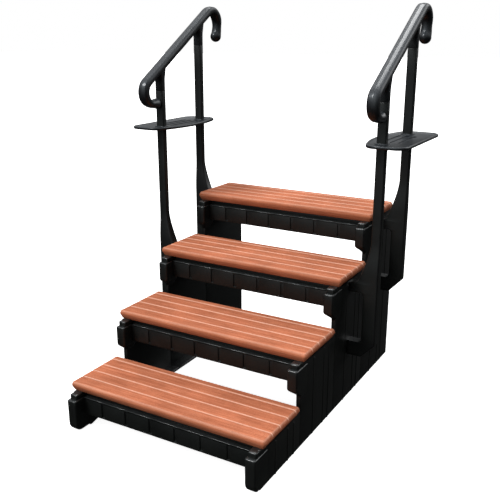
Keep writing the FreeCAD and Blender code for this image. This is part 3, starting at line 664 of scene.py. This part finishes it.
postSizes = {
    "width": 42 * mm, "depth": 28 * mm, "corner": 7 * mm, "footDepth": 44 * mm, "straight": 100 * mm,
    "topEdge": ((0.0, 0.9 * mm), (0.4 * mm, 0.3 * mm), (1.2 * mm, 0.0)),     # drop, and tuck
    "flareStart": 134 * mm, "flareEnd": -33 * mm, "flareEndX": 483 * mm, "flareCurve": 1.6, "flareSlices": 22,
    "thicken": 1.15, "webInside": 504 * mm, "webCorner": 18 * mm, "wallX": 441 * mm,
    "upperArm": (-56 * mm, -97 * mm), "lowerArm": (-327 * mm, -394 * mm), "chamfer": (57 * mm, 62 * mm),
    "chamferEdge": ((1.0, 0.0), (0.75, 0.0), (0.5, 0.0), (0.25, 0.0), (0.05, 0.0), (0.015, 0.8 * mm),
                    (0.0, 2.0 * mm)),            # share of the chamfer's height, and tuck
}


def postSlices(top, end, inner, outer):
    # level slices of a post from its top to its foot: height, inner face, outer face, thickness and tuck
    s = postSizes
    wallX, full, corner, web = s["wallX"], s["footDepth"], s["webCorner"], s["webInside"]
    (upperTop, upperLow), (lowerTop, bottom) = s["upperArm"], s["lowerArm"]
    flareStart, flareEnd, flareEndX = s["flareStart"], s["flareEnd"], s["flareEndX"]
    slices = [(end - top - drop, inner, outer, s["depth"], tuck)
              for drop, tuck in s["topEdge"] + ((s["straight"], 0.0),)]
    for k in range(s["flareSlices"]):
        share = k / (s["flareSlices"] - 1)
        thick = s["depth"] + (full - s["depth"]) * ease(share * s["thicken"])
        slices.append((flareStart + (flareEnd - flareStart) * share,
                       inner - (inner - flareEndX) * share ** s["flareCurve"], outer, thick, 0.0))

    def foot(height, inside):
        slices.append((height, inside, outer, full, 0.0))

    for k in range(1, 9):                        # the gusset that runs out onto the panel
        turn = math.pi / 2 * k / 8
        foot(flareEnd + (upperTop - flareEnd) * math.sin(turn),
             flareEndX - (flareEndX - wallX) * (1 - math.cos(turn)))
    foot(upperLow + 3 * mm, wallX)
    foot(upperLow, wallX)
    turns = [math.pi / 2 * k / 6 for k in range(7)]
    step = 0.02 * mm
    for turn in turns:                           # the two corners of the open middle of the C
        foot(upperLow - step - corner * (1 - math.cos(turn)), web - corner * (1 - math.sin(turn)))
    for turn in turns:
        foot(lowerTop + step + corner * (1 - math.sin(turn)), web - corner * (1 - math.cos(turn)))
    foot(lowerTop, wallX)
    across, up = s["chamfer"]
    for share, tuck in s["chamferEdge"]:
        slices.append((bottom + up * share, wallX, outer - across * (1 - share), full, tuck))
    return [(top + height, *rest) for height, *rest in slices]


def postAxis(sideName, place):
    # where the middle of a post stands, and how high its top is
    lo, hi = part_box("post_%s_%s" % (sideName, place))
    outer = max(abs(lo[0]), abs(hi[0]))
    return sides[sideName] * (outer - postSizes["width"] / 2), (lo[1] + hi[1]) / 2, hi[2]


def postRing(x, y, z, grow, corner):
    # the outline of a post, grown on all sides
    wide, deep = postSizes["width"] / 2 + grow, postSizes["depth"] / 2 + grow
    return roundedRing((x - wide, x + wide), (y - deep, y + deep), corner, z)


def makePosts():
    s = postSizes
    for sideName, side in sides.items():
        for place, tier in postTiers.items():
            x, y, end = postAxis(sideName, place)
            outer = abs(x) + s["width"] / 2
            rings = []
            for z, low, high, thick, tuck in postSlices(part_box("tread_%d" % tier)[1][2], end,
                                                        outer - s["width"], outer):
                ring = roundedRing((low + tuck, high - tuck), (y - thick / 2 + tuck, y + thick / 2 - tuck),
                                   s["corner"], z)
                rings.append([(side * px, py, pz) for px, py, pz in ring])
            bm = bmesh.new()
            skin(bm, rings)
            piece("flaredPost%s%s" % (sideName.title(), place.title()), settle(bm, 40.0), "black_plastic",
                  "post_%s_%s" % (sideName, place))
    print("posts made")


gripSizes = {
    "width": 52 * mm, "thickness": 40 * mm, "squareness": 2.7, "slope": 31.5,
    "lowReach": 115 * mm, "highReach": 94 * mm, "lowBend": 55 * mm, "highBend": 62 * mm,
    "tail": 160 * mm, "tailTurn": 23.0, "lowKnob": 24 * mm, "highKnob": 27 * mm, "lowKnobGap": 1 * mm,
    "neck": 0.90, "neckAt": 1.9, "neckSpread": 0.9, "ridge": 1.1 * mm, "ridgeFade": 60 * mm,
    "points": 64, "step": 14 * mm,
}


def gripPath(firstY, lastY, gripZ):
    # points along the middle of the grip, each with its heading, from the low knob to the high one
    s = gripSizes
    slope = math.radians(s["slope"])
    lowY = firstY - s["lowReach"] * math.cos(slope)
    lowZ = gripZ - s["lowReach"] * math.sin(slope)
    centre = (lowY + s["lowBend"] * math.sin(slope), lowZ - s["lowBend"] * math.cos(slope))
    curlZ = centre[1] - s["lowBend"]
    knobY = firstY - postSizes["depth"] / 2 - s["lowKnobGap"] - s["lowKnob"]
    path = [(knobY + (centre[0] - knobY) * k / 3, curlZ, math.pi) for k in range(4)]

    def bend(radius, turn, count):
        y, z, heading = path[-1]
        cy, cz = y + radius * math.sin(heading), z - radius * math.cos(heading)
        for k in range(1, count + 1):
            here = heading - math.radians(turn) * k / count
            path.append((cy - radius * math.sin(here), cz + radius * math.cos(here), here))

    bend(s["lowBend"], 180 - s["slope"], 22)
    y, z, _ = path[-1]
    length = (lastY - firstY) / math.cos(slope) + s["lowReach"] + s["highReach"]
    count = int(length / s["step"])
    for k in range(1, count + 1):
        along = length * k / count
        path.append((y + along * math.cos(slope), z + along * math.sin(slope), slope))
    bend(s["highBend"], 90 + s["slope"], 20)
    bend(s["tail"], s["tailTurn"], 8)
    return path


def gripRing(y, z, heading, wide, thick, power, postX, side, ridge):
    # the grip's section: broad, with a low ridge along its inner edge and another along its middle
    s = gripSizes
    ring = []
    for k in range(s["points"]):
        t = 2 * math.pi * k / s["points"]
        c, n = math.cos(t), math.sin(t)
        a = wide / 2 * math.copysign(abs(c) ** (2 / power), c)
        b = thick / 2 * math.copysign(abs(n) ** (2 / power), n)
        if b > 0:
            innerCrest = math.exp(-((a + side * 0.33 * wide) / (2.6 * mm)) ** 2)
            middleCrest = 0.8 * math.exp(-(a / (2.8 * mm)) ** 2)
            b -= ridge * (1 - innerCrest - middleCrest) * min(1.0, 2 * b / thick)
        ring.append((postX + a, y - b * math.sin(heading), z + b * math.cos(heading)))
    return ring


def gripSection(fromLow, fromHigh):
    # width, thickness, squareness and ridge at a place along the grip, which swells into a ball at each end
    s = gripSizes
    wide, thick, power = s["width"], s["thickness"], s["squareness"]
    for away, knob in ((fromLow, s["lowKnob"]), (fromHigh, s["highKnob"])):
        near = math.exp(-(away / (knob * s["neckAt"])) ** 2)
        neck = 1 - (1 - s["neck"]) * math.exp(-((away - s["neckAt"] * knob) / (knob * s["neckSpread"])) ** 2)
        wide, thick, power = wide * neck, thick * neck, power + (2.0 - power) * near
        if away < knob:
            ball = 2 * math.sqrt(knob ** 2 - away ** 2)
            wide, thick = max(wide, ball), max(thick, ball)
    return wide, thick, power, s["ridge"] * min(1.0, fromLow / s["ridgeFade"], fromHigh / s["ridgeFade"])


def knobCap(y, z, heading, knob, forward, postX, side):
    # the outer half of a knob
    made = []
    for k in range(1, 8):
        turn = math.pi / 2 * k / 8
        ahead, ball = knob * math.sin(turn) * forward, 2 * knob * math.cos(turn)
        made.append(gripRing(y + ahead * math.cos(heading), z + ahead * math.sin(heading), heading,
                             ball, ball, 2.0, postX, side, 0.0))
    return made


stubSizes = {
    "length": 108 * mm, "edge": ((0.0, 0.8 * mm), (0.5 * mm, 0.25 * mm)),
    "levels": (1.6 * mm, 30 * mm, 55 * mm, 66 * mm, 74 * mm, 82 * mm, 90 * mm, 97 * mm, 103 * mm),
    "widen": 5 * mm, "deepen": 16 * mm, "widenFrom": 45 * mm, "widenOver": 58 * mm,
    "leanFrom": 40 * mm, "leanOver": 60 * mm,
}


def stubRings(x, y, foot):
    # slices of the short upright under the grip; its top widens and leans with the slope
    s = stubSizes
    rings = []
    for level, tuck in s["edge"] + tuple((level, 0.0) for level in s["levels"]):
        spread = ease((level - s["widenFrom"]) / s["widenOver"])
        wide = postSizes["width"] + s["widen"] * spread - 2 * tuck
        deep = postSizes["depth"] + s["deepen"] * spread - 2 * tuck
        ring = roundedRing((x - wide / 2, x + wide / 2), (y - deep / 2, y + deep / 2), postSizes["corner"],
                           foot + level)
        lean = ease((level - s["leanFrom"]) / s["leanOver"]) * math.tan(math.radians(gripSizes["slope"]))
        rings.append([(px, py, pz + (py - y) * lean) for px, py, pz in ring])
    return rings


def makeHandrails():
    s = gripSizes
    for sideName, side in sides.items():
        postX, firstY, firstTop = postAxis(sideName, "front")
        _, lastY, lastTop = postAxis(sideName, "rear")
        path = gripPath(firstY, lastY, firstTop + stubSizes["length"])
        lengths = [0.0]
        for here, ahead in zip(path, path[1:]):
            lengths.append(lengths[-1] + math.dist(here[:2], ahead[:2]))
        rings = knobCap(*path[0], s["lowKnob"], -1, postX, side)[::-1]
        for place, along in zip(path, lengths):
            wide, thick, power, ridge = gripSection(along, lengths[-1] - along)
            rings.append(gripRing(*place, wide, thick, power, postX, side, ridge))
        rings += knobCap(*path[-1], s["highKnob"], 1, postX, side)
        bm = bmesh.new()
        skin(bm, rings)
        for y, foot in ((firstY, firstTop), (lastY, lastTop)):
            skin(bm, stubRings(postX, y, foot))
        piece("grip%s" % sideName.title(), settle(bm, 50.0), "black_satin_plastic", "handrail_%s" % sideName)
    print("handrails made")


traySizes = {
    "rim": 12 * mm, "recess": 4 * mm, "bow": 50 * mm, "innerCorner": 46 * mm, "corner": 52 * mm,
    "collar": 8 * mm, "postGap": 0.4 * mm, "slots": 3, "slotPitch": 34 * mm, "slotWidth": 16 * mm,
    "slotDepth": 3 * mm, "slotEnd": 60 * mm, "cutter": 20 * mm,
}


def trayOutline(lo, hi, side, inset):
    # leaf-shaped outline: straight outer side, bowed inner side, round corners
    s = traySizes
    xIn, xOut = (side * x for x in sorted((abs(lo[0]), abs(hi[0]))))
    y0, y1 = lo[1], hi[1]
    middle, halfLength = (y0 + y1) / 2, (y1 - y0) / 2
    radius = s["corner"]
    outline = []
    for cy, start, stop in ((y1 - radius, 90, 0), (y0 + radius, 360, 270)):
        outline += [(xOut - side * radius + side * a, b)
                    for a, b in arc((0.0, cy), radius - inset, start, stop, 10)]
    # the bowed side: a shallow arc, met by two small corner curves
    bowRadius = (halfLength ** 2 + s["bow"] ** 2) / (2 * s["bow"])
    reach = halfLength - s["innerCorner"]
    inner = []
    for k in range(25):
        y = middle - reach + 2 * reach * k / 24
        sag = bowRadius - math.sqrt(bowRadius ** 2 - (y - middle) ** 2)
        tilt = math.asin((y - middle) / bowRadius)
        inner.append((xIn + side * (sag + inset * math.cos(tilt)), y - inset * math.sin(tilt)))
    lowCorner = cornerBlend((outline[-1][0], y0 + inset), inner[0], ((side, 0.0), (0.0, 0.0)), inner[:2])
    highCorner = cornerBlend(inner[-1], (outline[0][0], y1 - inset), inner[-2:], ((0.0, 0.0), (side, 0.0)))
    return outline + lowCorner + inner + highCorner


def cornerBlend(start, stop, leave, arrive):
    # a quarter-turn curve between two points, which leaves and arrives along two lines
    reach = math.dist(start, stop) / 2
    handles = []
    for point, line, way in ((start, leave, 1), (stop, arrive, -1)):
        share = way * reach / math.dist(*line)
        handles.append([point[i] + (line[1][i] - line[0][i]) * share for i in range(2)])
    made = []
    for k in range(1, 8):
        t = k / 8
        weights = ((1 - t) ** 3, 3 * t * (1 - t) ** 2, 3 * t * t * (1 - t), t ** 3)
        corners = (start, handles[0], handles[1], stop)
        made.append(tuple(sum(w * point[i] for w, point in zip(weights, corners)) for i in range(2)))
    return made


def slotRule():
    # long round-ended slots side by side, as cutters
    r = Rule("traySlots", count=3, pitch=0.034, width=0.016, length=0.2, deep=0.02, x=0.56, y=0.3, z=1.1)
    width, length, deep = r.size("width"), r.size("length"), r.size("deep")
    disc = r.node("GeometryNodeMeshCylinder", inputs={"Vertices": 24, "Radius": width / 2.0, "Depth": deep})
    cube = r.node("GeometryNodeMeshCube", inputs={"Size": r.vector(width, length, deep)})
    ends = r.repeat(disc, 2, r.vector(0.0, length / -2.0), r.vector(0.0, length))
    return r.end(r.row(r.join(cube, ends), r.size("x")), finishes["black_satin_plastic"])


def cutAway(mesh, *cutters):
    # takes closed cutter meshes out of a closed mesh
    body = bpy.data.objects.new("cutBody", mesh)
    scene.collection.objects.link(body)
    tools = []
    for cutter in cutters:
        tool = bpy.data.objects.new("cutTool", cutter)
        scene.collection.objects.link(tool)
        tools.append(tool)
        modifier = body.modifiers.new("cut", "BOOLEAN")
        modifier.operation, modifier.solver, modifier.object = "DIFFERENCE", "EXACT", tool
        modifier.use_self = True
    view = bpy.context.evaluated_depsgraph_get()
    made = bpy.data.meshes.new_from_object(body.evaluated_get(view), depsgraph=view)
    body.modifiers.clear()
    for leftover in [body] + tools:
        bpy.data.objects.remove(leftover)
    return made


def makeTrays():
    s = traySizes
    rule = slotRule()
    rim, collar, gap = s["rim"], s["collar"], s["postGap"]
    for sideName, side in sides.items():
        node = "tray_%s" % sideName
        lo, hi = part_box(node)
        top, under = hi[2], lo[2]
        recess = top - s["recess"]
        profile = ((5 * mm, under), (2.2 * mm, under + 0.6 * mm), (0.7 * mm, under + 2.2 * mm),
                   (0.0, under + 4.5 * mm), (0.0, top - 5 * mm), (0.6 * mm, top - 2.6 * mm),
                   (2.0 * mm, top - 0.8 * mm), (4.2 * mm, top), (rim - 3.6 * mm, top),
                   (rim - 1.6 * mm, top - 0.8 * mm), (rim - 0.2 * mm, recess + 0.8 * mm),
                   (rim + 1.2 * mm, recess))
        bm = bmesh.new()
        skin(bm, [[(x, y, z) for x, y in trayOutline(lo, hi, side, inset)] for inset, z in profile])
        plate = settle(bm)
        posts = [postAxis(sideName, place)[:2] for place in postTiers]
        first, last = posts[0][1] + s["slotEnd"], posts[1][1] - s["slotEnd"]
        slots = grownBy(rule, {"count": s["slots"], "pitch": s["slotPitch"], "width": s["slotWidth"],
                               "length": last - first, "deep": s["cutter"], "x": (lo[0] + hi[0]) / 2,
                               "y": (first + last) / 2, "z": recess - s["slotDepth"] + s["cutter"] / 2})
        holes = bmesh.new()
        for x, y in posts:
            skin(holes, [postRing(x, y, z, gap, postSizes["corner"]) for z in (under - 5 * mm, top + 5 * mm)])
        plate = cutAway(plate, slots, settle(holes))
        bm = bmesh.new()
        bm.from_mesh(plate)
        foot = recess - 1 * mm
        section = ((collar, foot), (collar, top - 1.4 * mm), (collar - 0.6 * mm, top - 0.5 * mm),
                   (collar - 2 * mm, top), (gap + 1.2 * mm, top), (gap + 0.2 * mm, top - 0.5 * mm),
                   (gap, top - 1.4 * mm), (gap, foot), (collar, foot))
        for x, y in posts:                       # a raised collar round each post
            skin(bm, [postRing(x, y, z, grow, postSizes["corner"] + grow) for grow, z in section], False)
        bmesh.ops.remove_doubles(bm, verts=bm.verts[:], dist=0.01 * mm)
        piece("leafTray%s" % sideName.title(), settle(bm, 35.0), "black_satin_plastic", node)
    print("trays made")


keptNodes = {
    "rear_rail_": "black_plastic", "tray_clips": "blackened_steel", "tray_screws": "blackened_steel",
    "handrail_screws": "blackened_steel", "tread_screws": "zinc_steel", "rail_screws": "zinc_steel",
    "foot_": "zinc_steel", "frame_": "zinc_steel",
}


def finishKeptNodes():
    for name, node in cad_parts.items():
        for start, slot in keptNodes.items():
            if name.startswith(start):
                node.data.materials.clear()
                node.data.materials.append(finishes[slot])
                break


studio = {
    "floor": 0.80, "floorGlow": 0.90, "floorReach": 40.0, "horizon": 0.03, "zenith": 1.0,
    "key": {"towards": (0.42, 0.62, -0.80), "power": 1.85, "spread": 16.0},
    "rim": {"towards": (0.25, -0.55, -0.95), "power": 0.8, "spread": 20.0},
    "fill": {"towards": (0.15, 0.96, -0.22), "power": 0.55, "spread": 50.0},
    "back": {"towards": (-0.50, -0.75, -0.50), "power": 0.8, "spread": 40.0},
}


def softSun(name, towards, power, spread):
    lamp = bpy.data.lights.new(name, "SUN")
    lamp.energy, lamp.angle = power, math.radians(spread)
    made = bpy.data.objects.new(name, lamp)
    made.rotation_euler = Vector(towards).to_track_quat("-Z", "Y").to_euler()
    scene.collection.objects.link(made)


def makeStudio():
    s = studio
    bm = bmesh.new()
    reach = s["floorReach"]
    corners = ((-reach, -reach, 0), (reach, -reach, 0), (reach, reach, 0), (-reach, reach, 0))
    bm.faces.new([bm.verts.new(p) for p in corners])
    mesh = bpy.data.meshes.new("floor")
    bm.to_mesh(mesh)
    bm.free()
    floor = bpy.data.objects.new("floor", mesh)
    scene.collection.objects.link(floor)
    paint = Finish("paleFloor", {"Specular IOR Level": 0.0, "Roughness": 0.9, "Base Color": grey(s["floor"]),
                                 "Emission Color": grey(1.0), "Emission Strength": s["floorGlow"]})
    mesh.materials.append(paint.material)
    floor.visible_diffuse = floor.visible_glossy = False     # its glow stays off the black plastic

    # light comes mostly from overhead, in front of a white backdrop
    world = bpy.data.worlds.new("studioWorld")
    world.use_nodes = True
    sky = Signal(world.node_tree)
    sky.tree.nodes.clear()
    ray = sky.node("ShaderNodeTexCoord", output="Generated")
    height = sky.node("ShaderNodeSeparateXYZ", inputs={0: ray}, output=2).clip(0.0, 1.0)
    strength = s["horizon"] + (s["zenith"] - s["horizon"]) * height
    glow = sky.node("ShaderNodeBackground", inputs={"Strength": strength})
    backdrop = sky.node("ShaderNodeBackground", inputs={"Strength": 1.0})
    seen = sky.node("ShaderNodeLightPath", output="Is Camera Ray")
    both = sky.node("ShaderNodeMixShader", inputs={0: seen, 1: glow, 2: backdrop})
    sky.node("ShaderNodeOutputWorld", inputs={"Surface": both}, output=None)
    for background in (glow, backdrop):
        background.socket.node.inputs["Color"].default_value = grey(1.0)
    scene.world = world
    for name in ("key", "rim", "fill", "back"):
        softSun(name + "Light", s[name]["towards"], s[name]["power"], s[name]["spread"])


viewpoint = {"place": (1.5051, -2.5774, 1.5933), "tilt": 72.79, "turn": 29.83, "lens": 51.3}


def makeCamera():
    lens = bpy.data.cameras.new("viewCamera")
    lens.lens, lens.sensor_width, lens.clip_end = viewpoint["lens"], 36.0, 200.0
    camera = bpy.data.objects.new("viewCamera", lens)
    camera.location = viewpoint["place"]
    camera.rotation_euler = (math.radians(viewpoint["tilt"]), 0.0, math.radians(viewpoint["turn"]))
    scene.collection.objects.link(camera)
    scene.camera = camera


makeTreads()
makeFrontRails()
makeSidePanels()
makePosts()
makeHandrails()
makeTrays()
finishKeptNodes()
makeStudio()
makeCamera()
print("all pieces in place")
